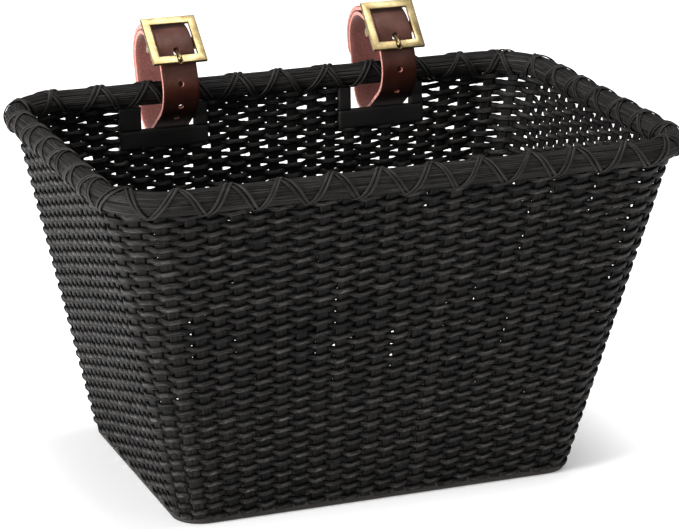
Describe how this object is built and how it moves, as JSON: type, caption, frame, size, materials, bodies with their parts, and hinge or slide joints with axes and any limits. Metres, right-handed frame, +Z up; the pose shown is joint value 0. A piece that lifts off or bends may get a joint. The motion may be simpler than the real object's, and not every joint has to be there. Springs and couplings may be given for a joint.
{
  "type": "handlebar basket",
  "caption": "Tapered black woven rattan basket with a lashed round rim, hung from a handlebar by two buckled brown leather straps through slots in its back wall",
  "frame": {"origin": "middle of the base board's underside, on the surface the basket stands on", "axes": "+X to the rider's left-to-right length of the rim, -Y the front, +Y the back where the straps hang, +Z up"},
  "size_m": [0.3672, 0.2935, 0.2583],
  "materials": {
    "board": "black-stained plywood",
    "woven_rattan": "black-stained flat rattan reed, satin",
    "stakes": "black-stained flat cane",
    "rim_core": "round rattan pole",
    "rim_cane": "bundle of thin black-stained canes, lengthwise grain",
    "lashing": "split cane strand, black-stained",
    "slot_frame": "smooth flat black-stained cane strip",
    "strap_leather": "dark brown smooth grain, pinkish tan flesh side and cut edges",
    "brass": "antique satin brass with light wear"
  },
  "bodies": {
    "basket": {"base_board": "board", "front_weave": "woven_rattan", "left_weave": "woven_rattan", "right_weave": "woven_rattan", "back_weave_lower": "woven_rattan", "back_weave_middle": "woven_rattan", "back_weave_left": "woven_rattan", "back_weave_right": "woven_rattan", "front_left_corner_weave": "woven_rattan", "front_right_corner_weave": "woven_rattan", "back_left_corner_weave": "woven_rattan", "back_right_corner_weave": "woven_rattan", "front_stakes": "stakes", "back_stakes": "stakes", "left_stakes": "stakes", "right_stakes": "stakes", "corner_stakes": "stakes", "rim_core": "rim_core", "rim_bundle": "rim_cane", "rim_lashing": "lashing", "left_slot_plate": "slot_frame", "left_slot_bands": "slot_frame", "right_slot_plate": "slot_frame", "right_slot_bands": "slot_frame"},
    "left_sling": {"left_strap": "strap_leather", "left_strap_rivet": "brass"},
    "left_buckle": {"left_buckle_frame": "brass", "left_buckle_bar": "brass"},
    "left_prong": {"left_buckle_prong": "brass"},
    "right_sling": {"right_strap": "strap_leather", "right_strap_rivet": "brass"},
    "right_buckle": {"right_buckle_frame": "brass", "right_buckle_bar": "brass"},
    "right_prong": {"right_buckle_prong": "brass"}
  },
  "joints": [
    {"name": "left_strap_swing", "type": "hinge", "parent": "basket", "child": "left_sling", "pos_m": [-0.0654, 0.0985, 0.213], "axis": [1, 0, 0], "range_deg": [0, 60]},
    {"name": "left_buckle_rock", "type": "hinge", "parent": "left_sling", "child": "left_buckle", "pos_m": [-0.0654, 0.10164, 0.24079], "axis": [1, 0, 0], "range_deg": [-3, 3]},
    {"name": "left_prong_lift", "type": "hinge", "parent": "left_buckle", "child": "left_prong", "pos_m": [-0.0654, 0.10164, 0.24079], "axis": [-1, 0, 0], "range_deg": [0, 6]},
    {"name": "right_strap_swing", "type": "hinge", "parent": "basket", "child": "right_sling", "pos_m": [0.0814, 0.0985, 0.213], "axis": [1, 0, 0], "range_deg": [0, 60]},
    {"name": "right_buckle_rock", "type": "hinge", "parent": "right_sling", "child": "right_buckle", "pos_m": [0.0814, 0.10074, 0.23904], "axis": [1, 0, 0], "range_deg": [-3, 3]},
    {"name": "right_prong_lift", "type": "hinge", "parent": "right_buckle", "child": "right_prong", "pos_m": [0.0814, 0.10074, 0.23904], "axis": [-1, 0, 0], "range_deg": [0, 6]}
  ]
}
